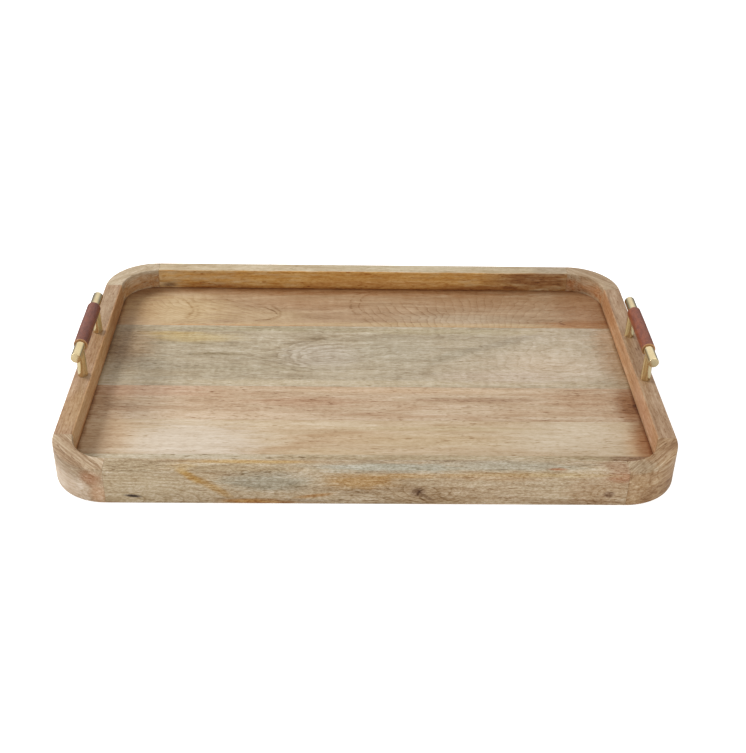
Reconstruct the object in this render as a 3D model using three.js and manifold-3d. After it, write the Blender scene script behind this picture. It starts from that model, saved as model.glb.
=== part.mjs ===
// Serving tray: four wooden rails and four round corner blocks doweled into a frame, a floor glued up
// from five boards and held in a groove of that frame, and a brass bar handle with a leather sleeve at
// each end, screwed down through the side rails.
//
// Millimetres, +Z up. The origin is on the surface the tray stands on, under the middle of the tray.
// X runs along the length (handle to handle), Y across the width (front rail at -Y).

import * as THREE from "three";
import { mergeVertices } from "three/addons/utils/BufferGeometryUtils.js";
import Module from "manifold-3d";

const wasm = await Module();
wasm.setup();

// ---- driving dimensions ----

const TRAY_LENGTH = 613;
const TRAY_WIDTH = 416;
const RIM_HEIGHT = 39.5;
const RIM_THICKNESS = 19;
const CORNER_RADIUS = 57; // outside radius, and how far each corner block reaches along both sides
const EDGE_EASE = 1; // small chamfer along the long edges of the frame

const FLOOR_TOP = 16.5;
const FLOOR_THICKNESS = 12;
const FLOOR_SEAMS = [98, -29, -92, -151.5]; // Y of the glue lines between the floor boards, back to front
const FLOOR_CLEARANCE = 0.3; // between the floor's shoulder and the inside of the frame
const TONGUE_THICKNESS = 5;
const TONGUE_LENGTH = 4.7; // from the inside of the frame into the groove
const GROOVE_DEPTH = 5;
const GROOVE_CLEARANCE = 0.3; // above and below the tongue

const DOWEL_RADIUS = 3;
const DOWEL_LENGTH = 30;
const DOWEL_CHAMFER = 0.8;
const DOWEL_HEIGHTS = { lower: 20, upper: 31 };
const HOLE_CLEARANCE = 0.3; // radial, round dowels, studs and screws

const POST_SPACING = 89;
const POST_BASE_RADIUS = 5.3;
const POST_TOP_RADIUS = 4.5;
const BAR_AXIS_ABOVE_RIM = 33;
const BAR_RADIUS = 5.5;
const BAR_LENGTH = 130;
const BAR_CHAMFER = 0.6;
const SLEEVE_LENGTH = 78;
const SLEEVE_RADIUS = 7.3;
const SLEEVE_BORE_RADIUS = 5.8;
const SLEEVE_EDGE = 0.3;

const THREAD_RADIUS = 2; // M4 studs and screws
const THREAD_CHAMFER = 0.5;
const STUD_IN_POST = 9;
const STUD_IN_BAR = 4.5;
const SCREW_IN_POST = 11;
const SCREW_HEAD_RADIUS = 4;
const SCREW_HEAD_HEIGHT = 2.4;
const SCREW_HEAD_CHAMFER = 1;
const SCREW_RECESS_WIDTH = 1;
const SCREW_RECESS_LENGTH = 4.4;
const SCREW_RECESS_DEPTH = 1.4;
const WASHER_RADIUS = 4.5;
const WASHER_THICKNESS = 0.8;
const COUNTERBORE_RADIUS = 5.2;
const COUNTERBORE_DEPTH = 4.6;

const CORNER_STEPS = 12; // flat steps round each quarter turn
const ROUND_STEPS = 24; // sides of the handle's turned pieces
const SMALL_STEPS = 12; // sides of dowels, screws and their holes
const OVERSHOOT = 1; // how far a cutter runs past the face it cuts

// ---- what follows from them ----

const HALF_LENGTH = TRAY_LENGTH / 2;
const HALF_WIDTH = TRAY_WIDTH / 2;
const CORNER_X = HALF_LENGTH - CORNER_RADIUS; // centre of the corner arcs, and the end of the long rails
const CORNER_Y = HALF_WIDTH - CORNER_RADIUS;
const RAIL_CENTRE = RIM_THICKNESS / 2; // from the outside face to the middle of a rail
const FLOOR_BOTTOM = FLOOR_TOP - FLOOR_THICKNESS;
const TONGUE_BOTTOM = FLOOR_BOTTOM + (FLOOR_THICKNESS - TONGUE_THICKNESS) / 2;
const TONGUE_TOP = TONGUE_BOTTOM + TONGUE_THICKNESS;
const POST_X = HALF_LENGTH - RAIL_CENTRE;

// ---- materials ----

const finish = (color, roughness, metalness = 0) =>
  new THREE.MeshStandardMaterial({ color, roughness, metalness });

const woodSand = finish(0xc2a583, 0.55);
const woodGreen = finish(0xa6946c, 0.55);
const woodTan = finish(0xb08b6a, 0.55);
const woodPink = finish(0xc39c7b, 0.55);
const woodCream = finish(0xcfae8e, 0.55);
const dowelWood = finish(0xd2b48a, 0.7);
const brass = finish(0xbfa05c, 0.28, 1);
const leather = finish(0x7a4433, 0.6);
const steel = finish(0xa8a8aa, 0.35, 1);

// ---- small helpers ----

/** A closed three.js geometry as a solid that can be cut and joined. */
function solid(geometry) {
  const bare = geometry.clone();
  bare.deleteAttribute("normal");
  bare.deleteAttribute("uv");
  const merged = mergeVertices(bare, 1e-4);
  return new wasm.Manifold(
    new wasm.Mesh({
      numProp: 3,
      vertProperties: merged.getAttribute("position").array,
      triVerts: new Uint32Array(merged.index.array),
    }),
  );
}

/** A solid back as a three.js geometry. */
function geometryOf(body) {
  const mesh = body.getMesh();
  const geometry = new THREE.BufferGeometry();
  geometry.setAttribute("position", new THREE.BufferAttribute(mesh.vertProperties, mesh.numProp));
  geometry.setIndex(new THREE.BufferAttribute(mesh.triVerts, 1));
  const flat = geometry.toNonIndexed();
  flat.computeVertexNormals();
  return flat;
}

/** A turned piece about Z. The profile is [radius, height] pairs with the piece on their left. */
function turned(profile, steps) {
  const points = profile.map(([radius, height]) => new THREE.Vector2(radius, height));
  return new THREE.LatheGeometry(points, steps).rotateX(Math.PI / 2);
}

/** A plain round rod about Z from one height to another, with a chamfer at both ends. */
function rod(radius, from, to, steps, chamfer = 0) {
  const profile = [[0, from], [radius - chamfer, from]];
  if (chamfer > 0) profile.push([radius, from + chamfer], [radius, to - chamfer]);
  else profile.push([radius, to]);
  if (chamfer > 0) profile.push([radius - chamfer, to]);
  profile.push([0, to]);
  return turned(profile, steps);
}

/** The cutter for a dowel hole, which runs from a start point along plus or minus X or Y. */
function dowelDrill(direction, start) {
  const length = DOWEL_LENGTH / 2 + HOLE_CLEARANCE + OVERSHOOT;
  const geometry = rod(DOWEL_RADIUS + HOLE_CLEARANCE, 0, length, SMALL_STEPS);
  if (direction.x) geometry.rotateY((Math.PI / 2) * direction.x);
  else geometry.rotateX((-Math.PI / 2) * direction.y);
  return geometry.translate(start.x, start.y, start.z);
}

function box(low, high) {
  const size = new THREE.Vector3().subVectors(high, low);
  const centre = new THREE.Vector3().addVectors(low, high).multiplyScalar(0.5);
  return new THREE.BoxGeometry(size.x, size.y, size.z).translate(centre.x, centre.y, centre.z);
}

const tray = new THREE.Group();

/** Names a piece, gives it its material and puts it in its group. */
function piece(name, geometry, material, parent = tray) {
  const mesh = new THREE.Mesh(geometry, material);
  mesh.name = name;
  parent.add(mesh);
  return mesh;
}

// ---- frame ----

/**
 * The frame's section: first number inward from the outside face, second up from the table.
 * The groove for the floor is open towards the inside.
 */
function frameSection() {
  const top = RIM_HEIGHT;
  const inside = RIM_THICKNESS;
  const ease = EDGE_EASE;
  const grooveBack = RIM_THICKNESS - GROOVE_DEPTH;
  const grooveBottom = TONGUE_BOTTOM - GROOVE_CLEARANCE;
  const grooveTop = TONGUE_TOP + GROOVE_CLEARANCE;
  return [
    [ease, 0], [inside - ease, 0], [inside, ease],
    [inside, grooveBottom], [grooveBack, grooveBottom], [grooveBack, grooveTop], [inside, grooveTop],
    [inside, top - ease], [inside - ease, top], [ease, top], [0, top - ease], [0, ease],
  ];
}

/** A straight rail along local Y: outside face at x = 0, inside face towards +x. */
function railSolid(length) {
  const section = new THREE.Shape(frameSection().map(([inward, up]) => new THREE.Vector2(inward, up)));
  const bar = new THREE.ExtrudeGeometry(section, { depth: length, bevelEnabled: false })
    .translate(0, 0, -length / 2)
    .rotateX(Math.PI / 2);
  let body = solid(bar);
  for (const end of [-1, 1]) {
    for (const height of Object.values(DOWEL_HEIGHTS)) {
      const start = new THREE.Vector3(RAIL_CENTRE, end * (length / 2 + OVERSHOOT), height);
      body = body.subtract(solid(dowelDrill({ x: 0, y: -end }, start)));
    }
  }
  return body;
}

/** Cuts the two screw holes for a handle up through a side rail, with their counterbores below. */
function drilledForHandle(body) {
  for (const side of [-1, 1]) {
    const y = (side * POST_SPACING) / 2;
    const radius = THREAD_RADIUS + HOLE_CLEARANCE;
    const hole = rod(radius, -OVERSHOOT, RIM_HEIGHT + OVERSHOOT, SMALL_STEPS);
    const counterbore = rod(COUNTERBORE_RADIUS, -OVERSHOOT, COUNTERBORE_DEPTH, ROUND_STEPS);
    body = body.subtract(solid(hole.translate(RAIL_CENTRE, y, 0)));
    body = body.subtract(solid(counterbore.translate(RAIL_CENTRE, y, 0)));
  }
  return body;
}

/** A quarter-round corner block in the quadrant x < 0, y < 0 about the centre of its arc. */
function cornerSolid() {
  const profile = frameSection().map(([inward, up]) => [CORNER_RADIUS - inward, up]).reverse();
  profile.push(profile[0]);
  const ring = turned(profile, 4 * CORNER_STEPS);
  const reach = CORNER_RADIUS + OVERSHOOT;
  const low = new THREE.Vector3(-reach, -reach, -OVERSHOOT);
  const high = new THREE.Vector3(0, 0, RIM_HEIGHT + OVERSHOOT);
  let body = solid(ring).intersect(solid(box(low, high)));
  const centreLine = CORNER_RADIUS - RAIL_CENTRE;
  for (const height of Object.values(DOWEL_HEIGHTS)) {
    const alongX = dowelDrill({ x: -1, y: 0 }, new THREE.Vector3(OVERSHOOT, -centreLine, height));
    const alongY = dowelDrill({ x: 0, y: -1 }, new THREE.Vector3(-centreLine, OVERSHOOT, height));
    body = body.subtract(solid(alongX)).subtract(solid(alongY));
  }
  return body;
}

const longRail = railSolid(2 * CORNER_X);
const sideRail = drilledForHandle(railSolid(2 * CORNER_Y));
const rails = [
  { name: "front_rail", body: longRail, x: 0, y: -HALF_WIDTH, turn: Math.PI / 2, wood: woodGreen },
  { name: "back_rail", body: longRail, x: 0, y: HALF_WIDTH, turn: -Math.PI / 2, wood: woodSand },
  { name: "left_rail", body: sideRail, x: -HALF_LENGTH, y: 0, turn: 0, wood: woodTan },
  { name: "right_rail", body: sideRail, x: HALF_LENGTH, y: 0, turn: Math.PI, wood: woodTan },
];
for (const rail of rails) {
  const mesh = piece(rail.name, geometryOf(rail.body), rail.wood);
  mesh.position.set(rail.x, rail.y, 0);
  mesh.rotation.z = rail.turn;
}

const corner = cornerSolid();
const corners = [
  { name: "corner_front_left", x: -CORNER_X, y: -CORNER_Y, turn: 0, wood: woodPink },
  { name: "corner_front_right", x: CORNER_X, y: -CORNER_Y, turn: Math.PI / 2, wood: woodTan },
  { name: "corner_back_right", x: CORNER_X, y: CORNER_Y, turn: Math.PI, wood: woodSand },
  { name: "corner_back_left", x: -CORNER_X, y: CORNER_Y, turn: -Math.PI / 2, wood: woodSand },
];
for (const block of corners) {
  const mesh = piece(block.name, geometryOf(corner), block.wood);
  mesh.position.set(block.x, block.y, 0);
  mesh.rotation.z = block.turn;
}

/** Two dowels at each of the eight joints between a rail and a corner block. */
function addDowels() {
  const across = HALF_WIDTH - RAIL_CENTRE;
  for (const [back, ySign] of [["front", -1], ["back", 1]]) {
    for (const [left, xSign] of [["left", -1], ["right", 1]]) {
      for (const [level, height] of Object.entries(DOWEL_HEIGHTS)) {
        const shape = () =>
          rod(DOWEL_RADIUS, -DOWEL_LENGTH / 2, DOWEL_LENGTH / 2, SMALL_STEPS, DOWEL_CHAMFER);
        const long = piece(`dowel_${back}_rail_${left}_${level}`, shape(), dowelWood);
        long.position.set(xSign * CORNER_X, ySign * across, height);
        long.rotation.y = Math.PI / 2;
        const side = piece(`dowel_${left}_rail_${back}_${level}`, shape(), dowelWood);
        side.position.set(xSign * POST_X, ySign * CORNER_Y, height);
        side.rotation.x = Math.PI / 2;
      }
    }
  }
}
addDowels();

// ---- floor ----

/** A rectangle with round corners, centred on the tray. */
function roundedRectangle(halfX, halfY, radius) {
  const shape = new THREE.Shape();
  const x = halfX - radius;
  const y = halfY - radius;
  shape.absarc(x, y, radius, 0, Math.PI / 2);
  shape.absarc(-x, y, radius, Math.PI / 2, Math.PI);
  shape.absarc(-x, -y, radius, Math.PI, 1.5 * Math.PI);
  shape.absarc(x, -y, radius, 1.5 * Math.PI, 2 * Math.PI);
  return shape;
}

/** The frame's inside outline grown by a distance, as a plate between two heights. */
function floorLayer(grow, bottom, top) {
  const outline = roundedRectangle(
    HALF_LENGTH - RIM_THICKNESS + grow,
    HALF_WIDTH - RIM_THICKNESS + grow,
    CORNER_RADIUS - RIM_THICKNESS + grow,
  );
  const depth = top - bottom;
  const plate = new THREE.ExtrudeGeometry(outline, {
    depth,
    bevelEnabled: false,
    curveSegments: CORNER_STEPS,
  });
  return solid(plate.translate(0, 0, bottom));
}

const floorPanel = floorLayer(-FLOOR_CLEARANCE, FLOOR_BOTTOM, FLOOR_TOP)
  .add(floorLayer(TONGUE_LENGTH, TONGUE_BOTTOM, TONGUE_TOP));
const boardEdges = [HALF_WIDTH, ...FLOOR_SEAMS, -HALF_WIDTH];
const boardWoods = [woodPink, woodGreen, woodTan, woodCream, woodSand];
boardWoods.forEach((wood, i) => {
  const low = new THREE.Vector3(-HALF_LENGTH, boardEdges[i + 1], 0);
  const high = new THREE.Vector3(HALF_LENGTH, boardEdges[i], RIM_HEIGHT);
  const board = floorPanel.intersect(solid(box(low, high)));
  piece(`floor_board_${i + 1}`, geometryOf(board), wood);
});

// ---- handles, each in a frame whose origin is on top of the rim ----

const axisHeight = BAR_AXIS_ABOVE_RIM;
const postEnds = [["front", -POST_SPACING / 2], ["back", POST_SPACING / 2]];

/** The grip bar along Y, with a blind threaded hole above each post. */
function barGeometry() {
  const round = rod(BAR_RADIUS, -BAR_LENGTH / 2, BAR_LENGTH / 2, ROUND_STEPS, BAR_CHAMFER);
  let body = solid(round.rotateX(Math.PI / 2).translate(0, 0, axisHeight));
  const holeTop = axisHeight - BAR_RADIUS + STUD_IN_BAR + HOLE_CLEARANCE;
  for (const [, y] of postEnds) {
    const hole = rod(THREAD_RADIUS + HOLE_CLEARANCE, 0, holeTop, SMALL_STEPS);
    body = body.subtract(solid(hole.translate(0, y, 0)));
  }
  return geometryOf(body);
}

/** A tapered post with a saddle for the bar and a threaded hole at each end. */
function postGeometry() {
  const cone = turned(
    [[0, 0], [POST_BASE_RADIUS, 0], [POST_TOP_RADIUS, axisHeight], [0, axisHeight]],
    ROUND_STEPS,
  );
  const saddle = rod(BAR_RADIUS + HOLE_CLEARANCE, -BAR_LENGTH, BAR_LENGTH, 2 * ROUND_STEPS)
    .rotateX(Math.PI / 2)
    .translate(0, 0, axisHeight);
  const radius = THREAD_RADIUS + HOLE_CLEARANCE;
  const screwHole = rod(radius, -OVERSHOOT, SCREW_IN_POST + OVERSHOOT, SMALL_STEPS);
  const studHoleBottom = axisHeight - BAR_RADIUS - STUD_IN_POST - HOLE_CLEARANCE;
  const studHole = rod(radius, studHoleBottom, axisHeight + OVERSHOOT, SMALL_STEPS);
  const body = solid(cone)
    .subtract(solid(saddle))
    .subtract(solid(screwHole))
    .subtract(solid(studHole));
  return geometryOf(body);
}

/** The leather sleeve, a tube round the bar between the posts. */
function sleeveGeometry() {
  const half = SLEEVE_LENGTH / 2;
  const outer = SLEEVE_RADIUS;
  const inner = SLEEVE_BORE_RADIUS;
  const profile = [
    [inner, half], [inner, -half], [outer - SLEEVE_EDGE, -half], [outer, -half + SLEEVE_EDGE],
    [outer, half - SLEEVE_EDGE], [outer - SLEEVE_EDGE, half], [inner, half],
  ];
  return turned(profile, ROUND_STEPS).rotateX(Math.PI / 2).translate(0, 0, axisHeight);
}

/** The headless stud that joins a post to the bar. */
function studGeometry() {
  const middle = axisHeight - BAR_RADIUS;
  const low = middle - STUD_IN_POST;
  return rod(THREAD_RADIUS, low, middle + STUD_IN_BAR, SMALL_STEPS, THREAD_CHAMFER);
}

/** The machine screw that comes up through the rail into the post, with a cross recess in its head. */
function screwGeometry() {
  const headTop = COUNTERBORE_DEPTH - WASHER_THICKNESS - RIM_HEIGHT;
  const headBottom = headTop - SCREW_HEAD_HEIGHT;
  const tip = SCREW_IN_POST;
  const profile = [
    [0, headBottom], [SCREW_HEAD_RADIUS - SCREW_HEAD_CHAMFER, headBottom],
    [SCREW_HEAD_RADIUS, headBottom + SCREW_HEAD_CHAMFER], [SCREW_HEAD_RADIUS, headTop],
    [THREAD_RADIUS, headTop], [THREAD_RADIUS, tip - THREAD_CHAMFER], [THREAD_RADIUS - THREAD_CHAMFER, tip],
    [0, tip],
  ];
  let body = solid(turned(profile, 2 * SMALL_STEPS));
  for (const turn of [0, Math.PI / 2]) {
    const slot = new THREE.BoxGeometry(SCREW_RECESS_LENGTH, SCREW_RECESS_WIDTH, 2 * SCREW_RECESS_DEPTH)
      .rotateZ(turn)
      .translate(0, 0, headBottom);
    body = body.subtract(solid(slot));
  }
  return geometryOf(body);
}

/** The flat washer between the screw head and the wood. */
function washerGeometry() {
  const top = COUNTERBORE_DEPTH - RIM_HEIGHT;
  const bottom = top - WASHER_THICKNESS;
  const bore = THREAD_RADIUS + HOLE_CLEARANCE;
  const profile = [[bore, top], [bore, bottom], [WASHER_RADIUS, bottom], [WASHER_RADIUS, top], [bore, top]];
  return turned(profile, 2 * SMALL_STEPS);
}

for (const [side, x] of [["left", -POST_X], ["right", POST_X]]) {
  const handle = new THREE.Group();
  handle.position.set(x, 0, RIM_HEIGHT);
  piece(`${side}_handle_bar`, barGeometry(), brass, handle);
  piece(`${side}_leather_sleeve`, sleeveGeometry(), leather, handle);
  for (const [end, y] of postEnds) {
    const parts = [
      [`${side}_post_${end}`, postGeometry(), brass],
      [`${side}_bar_stud_${end}`, studGeometry(), steel],
      [`${side}_screw_${end}`, screwGeometry(), steel],
      [`${side}_washer_${end}`, washerGeometry(), steel],
    ];
    for (const [name, geometry, material] of parts) {
      piece(name, geometry, material, handle).position.y = y;
    }
  }
  tray.add(handle);
}

export default tray;
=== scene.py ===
"""Looks for a wooden serving tray with brass bar handles, built round its CAD frame.

The rails, corner blocks, floor boards, bars, posts and leather sleeves get finer meshes here. The
dowels, studs, screws and washers keep their CAD meshes and get better materials.

Lengths are millimetres, turned into Blender's metres by MM. X runs from the left handle to the right
one, Y from the front rail to the back rail, and Z up from the surface the tray stands on.
"""

from math import cos, exp, pi, radians, remainder, sin, sqrt, tau

import bmesh
import bpy
from mathutils import Matrix, Vector


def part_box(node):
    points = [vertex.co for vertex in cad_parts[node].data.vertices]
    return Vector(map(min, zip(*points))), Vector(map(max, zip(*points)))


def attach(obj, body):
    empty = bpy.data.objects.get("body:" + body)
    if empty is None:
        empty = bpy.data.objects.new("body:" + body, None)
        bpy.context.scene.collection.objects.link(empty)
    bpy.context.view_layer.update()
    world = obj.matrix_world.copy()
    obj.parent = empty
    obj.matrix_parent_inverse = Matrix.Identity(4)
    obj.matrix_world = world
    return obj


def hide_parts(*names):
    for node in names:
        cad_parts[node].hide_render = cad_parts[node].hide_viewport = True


MM = 0.001

# ---- driving dimensions that the frame's boxes don't give ----

EDGE_ROUND = 0.9  # radius along the long edges of rails and corner blocks
JOINT_EASE = 0.28  # tiny bevel at the ends of rails and blocks, which lets their joints show
SEAM_EASE = 0.12  # the same along the glue lines of the floor
FLOOR_EDGE_GAP = 0.3  # between the floor and the inside of the frame
TONGUE_THICKNESS = 5
GROOVE_DEPTH = 5
GROOVE_CLEARANCE = 0.3
HOLE_CLEARANCE = 0.3
THREAD_RADIUS = 2
COUNTERBORE_RADIUS = 5.2
POST_TOP_RADIUS = 4.5
POST_FOOT_EASE = 0.3
SADDLE_GAP = 0.05  # between a post and the bar that lies in it
BAR_EDGE = 0.4
SLEEVE_TIGHTNESS = 0.03  # between the leather and the bar
SLEEVE_SLACK = 0.08  # how far the leather stays inside its CAD node, so that its waves fit in
SLEEVE_EDGE = 0.35
BUTT_SEAM_DEPTH = 0.45
BUTT_SEAM_WIDTH = 0.05  # radians round the sleeve
METAL_EDGE = 0.12  # on the screws and washers

ARC_STEPS = 5  # along one rounded edge of a section
CORNER_STEPS = 44  # round one corner block
FLOOR_ARC_STEPS = 32
RAIL_STRETCHES = 12
BAR_STEPS = 72
POST_STEPS = 64
POST_STRETCHES = 10
SADDLE_SHARES = (0.9, 0.75, 0.6, 0.45, 0.3, 0.15)  # rings from a post's rim towards its middle
SLEEVE_STEPS = 144
SLEEVE_STRETCHES = 48
HOLE_STEPS = 32
MERGE_DISTANCE = 0.001
SHARP_ANGLE = radians(35)

# ---- the camera, which looks at a point on the table near the middle of the tray ----

CAMERA_TARGET = (9.4, 16.8, 0)
CAMERA_DISTANCE = 1343.2
CAMERA_YAW = radians(-1.59)
CAMERA_ELEVATION = radians(33.06)
CAMERA_ROLL = radians(1.3)
CAMERA_LENS = 57.46
CAMERA_SENSOR = 36

# ---- wood and light ----

FOOT_SHADE_WIDTH = 5  # of the painted shade on the floor along the foot of the frame
RING_SHARPNESS = 260  # of the single arcs in the grain, more for thinner ones
AMBIENT = 0.74  # even light from all round, where paper white is 1

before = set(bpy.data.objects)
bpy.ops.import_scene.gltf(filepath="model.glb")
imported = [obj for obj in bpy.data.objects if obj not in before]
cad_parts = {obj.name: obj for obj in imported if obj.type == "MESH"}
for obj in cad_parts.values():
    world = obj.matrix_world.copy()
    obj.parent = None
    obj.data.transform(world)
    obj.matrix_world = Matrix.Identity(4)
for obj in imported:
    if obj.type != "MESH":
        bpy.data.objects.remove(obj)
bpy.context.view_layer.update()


def box_of(*nodes):
    """Lowest and highest corner of some CAD nodes together, in millimetres."""
    corners = [Vector(corner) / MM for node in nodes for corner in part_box(node)]
    low = Vector([min(corner[axis] for corner in corners) for axis in range(3)])
    high = Vector([max(corner[axis] for corner in corners) for axis in range(3)])
    return low, high


def middle_of(node):
    """X and Y of the middle of a CAD node."""
    low, high = box_of(node)
    return (low.x + high.x) / 2, (low.y + high.y) / 2


FRAME_LOW, FRAME_HIGH = box_of("front_rail", "back_rail", "left_rail", "right_rail")
LONG_LOW, LONG_HIGH = box_of("front_rail")
SIDE_HIGH = box_of("left_rail")[1]
FLOOR_LOW, FLOOR_HIGH = box_of("floor_board_2")
RIM_TOP = FRAME_HIGH.z
RIM_THICKNESS = LONG_HIGH.y - LONG_LOW.y
CORNER_X = LONG_HIGH.x  # centres of the corner arcs
CORNER_Y = SIDE_HIGH.y
CORNER_RADIUS = FRAME_HIGH.x - CORNER_X
INSIDE_X = FRAME_HIGH.x - RIM_THICKNESS
INSIDE_Y = FRAME_HIGH.y - RIM_THICKNESS
INSIDE_RADIUS = CORNER_RADIUS - RIM_THICKNESS
TONGUE_LENGTH = FLOOR_HIGH.x - INSIDE_X
TONGUE_BOTTOM = (FLOOR_LOW.z + FLOOR_HIGH.z - TONGUE_THICKNESS) / 2
TONGUE_TOP = TONGUE_BOTTOM + TONGUE_THICKNESS


# ---- mesh helpers ----


def quarter_turn(steps):
    """Angles from 0 to 90 degrees, for a rounded edge."""
    return [pi / 2 * step / steps for step in range(steps + 1)]


def whole_turn(steps):
    """Angles once round a circle."""
    return [tau * step / steps for step in range(steps)]


def new_object(name, points, faces):
    """A mesh object from points in millimetres. Points that meet are joined and normals face out."""
    mesh = bpy.data.meshes.new(name)
    mesh.from_pydata([Vector(point) * MM for point in points], [], faces)
    work = bmesh.new()
    work.from_mesh(mesh)
    bmesh.ops.remove_doubles(work, verts=work.verts, dist=MERGE_DISTANCE * MM)
    bmesh.ops.recalc_face_normals(work, faces=work.faces)
    work.to_mesh(mesh)
    work.free()
    thing = bpy.data.objects.new(name, mesh)
    bpy.context.scene.collection.objects.link(thing)
    return thing


def skin(rings, closed=False):
    """Points and faces over a row of rings. An open row gets a flat cap at both ends."""
    count = len(rings[0])
    points = [point for ring in rings for point in ring]
    faces = []
    for row in range(len(rings) if closed else len(rings) - 1):
        here = row * count
        there = (row + 1) % len(rings) * count
        for j in range(count):
            k = (j + 1) % count
            faces.append((here + j, here + k, there + k, there + j))
    if not closed:
        faces.append(tuple(range(count)))
        faces.append(tuple(range(len(points) - 1, len(points) - 1 - count, -1)))
    return points, faces


def drill(radius, start, end):
    """A round cutter between two points."""
    start, end = Vector(start), Vector(end)
    axis = (end - start).normalized()
    side = axis.orthogonal().normalized()
    other = axis.cross(side)
    rings = []
    for centre in (start, end):
        rings.append([
            centre + radius * (side * cos(turn) + other * sin(turn))
            for turn in whole_turn(HOLE_STEPS)
        ])
    return new_object("cutter", *skin(rings))


def cut_away(thing, cutters):
    """Takes the cutters out of a piece and removes them."""
    for cutter in cutters:
        boolean = thing.modifiers.new("cut", "BOOLEAN")
        boolean.operation = "DIFFERENCE"
        boolean.solver = "EXACT"
        boolean.object = cutter
    bpy.context.view_layer.update()
    depsgraph = bpy.context.evaluated_depsgraph_get()
    result = bpy.data.meshes.new_from_object(thing.evaluated_get(depsgraph))
    thing.modifiers.clear()
    thing.data = result
    for cutter in cutters:
        bpy.data.objects.remove(cutter)


def finish_piece(thing, node, material):
    """Smooths a piece, gives it its material and lets it stand for its CAD node."""
    thing.data.shade_smooth()
    thing.data.set_sharp_from_angle(angle=SHARP_ANGLE)
    thing.data.materials.clear()
    thing.data.materials.append(material)
    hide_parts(node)
    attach(thing, "root")


# ---- frame ----


def rounded(corners):
    """An outline of right-angled corners, given as (x, y, radius), with each rounded off."""
    outline = []
    for i, (x, y, radius) in enumerate(corners):
        here = Vector((x, y))
        if radius == 0:
            outline.append(here)
            continue
        before = Vector(corners[i - 1][:2]) - here
        after = Vector(corners[(i + 1) % len(corners)][:2]) - here
        before.normalize()
        after.normalize()
        centre = here + (before + after) * radius
        for turn in quarter_turn(ARC_STEPS):
            outline.append(centre - radius * (after * cos(turn) + before * sin(turn)))
    return outline


def frame_section(shrink):
    """The frame's section as (inward, up) pairs, with the floor's groove on the inside."""
    inside = RIM_THICKNESS - shrink
    groove_back = RIM_THICKNESS - GROOVE_DEPTH
    groove_low = TONGUE_BOTTOM - GROOVE_CLEARANCE
    groove_high = TONGUE_TOP + GROOVE_CLEARANCE
    top = RIM_TOP - shrink
    return rounded([
        (shrink, shrink, EDGE_ROUND), (inside, shrink, EDGE_ROUND),
        (inside, groove_low, 0), (groove_back, groove_low, 0),
        (groove_back, groove_high, 0), (inside, groove_high, 0),
        (inside, top, EDGE_ROUND), (shrink, top, EDGE_ROUND),
    ])


def dowel_holes(*joints):
    """Cutters for the dowel holes at the named joints, such as front_rail_left."""
    cutters = []
    for joint in joints:
        for level in ("lower", "upper"):
            low, high = box_of(f"dowel_{joint}_{level}")
            size = high - low
            axis = 0 if size.x > size.y else 1
            centre = (low + high) / 2
            reach = Vector((0, 0, 0))
            reach[axis] = size[axis] / 2 + HOLE_CLEARANCE
            cutters.append(drill(size.z / 2 + HOLE_CLEARANCE, centre - reach, centre + reach))
    return cutters


def screw_holes(side):
    """Cutters for one handle's two screw holes, each with a counterbore from below."""
    cutters = []
    for end in ("front", "back"):
        washer = f"{side}_washer_{end}"
        x, y = middle_of(washer)
        washer_top = box_of(washer)[1].z
        radius = THREAD_RADIUS + HOLE_CLEARANCE
        cutters.append(drill(radius, (x, y, -1), (x, y, RIM_TOP + 1)))
        cutters.append(drill(COUNTERBORE_RADIUS, (x, y, -1), (x, y, washer_top)))
    return cutters


def swept(name, start, end, steps, ease, place):
    """The frame's section swept from start to end, eased at both, with each point put in place."""
    stations = [(start, JOINT_EASE), (start + ease, 0)]
    stations += [(start + (end - start) * i / steps, 0) for i in range(1, steps)]
    stations += [(end - ease, 0), (end, JOINT_EASE)]
    rings = [
        [place(station, inward, up) for inward, up in frame_section(shrink)]
        for station, shrink in stations
    ]
    return new_object(name, *skin(rings))


def build_rail(node, material):
    """A straight rail between two corner blocks, grooved, and drilled for its dowels and screws."""
    low, high = box_of(node)
    along = 0 if high.x - low.x > high.y - low.y else 1
    across = 1 - along
    outward = 1 if low[across] > 0 else -1
    outside = high[across] if outward > 0 else low[across]

    def place(station, inward, up):
        point = Vector((0, 0, up))
        point[along] = station
        point[across] = outside - outward * inward
        return point

    rail = swept(f"{node}_fine", low[along], high[along], RAIL_STRETCHES, JOINT_EASE, place)
    ends = ("left", "right") if along == 0 else ("front", "back")
    cutters = dowel_holes(*[f"{node}_{end}" for end in ends])
    if along == 1:
        cutters += screw_holes(node.split("_")[0])
    cut_away(rail, cutters)
    finish_piece(rail, node, material)


def build_corner(node, material):
    """A quarter-round corner block, swept round the centre of its arc."""
    back, left = node.split("_")[1:]
    x_sign = -1 if left == "left" else 1
    y_sign = -1 if back == "front" else 1

    def place(turn, inward, up):
        radius = CORNER_RADIUS - inward
        x = x_sign * (CORNER_X + radius * cos(turn))
        y = y_sign * (CORNER_Y + radius * sin(turn))
        return (x, y, up)

    ease = JOINT_EASE / CORNER_RADIUS
    block = swept(f"{node}_fine", 0, pi / 2, CORNER_STEPS, ease, place)
    cut_away(block, dowel_holes(f"{back}_rail_{left}", f"{left}_rail_{back}"))
    finish_piece(block, node, material)


# ---- floor ----


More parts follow.
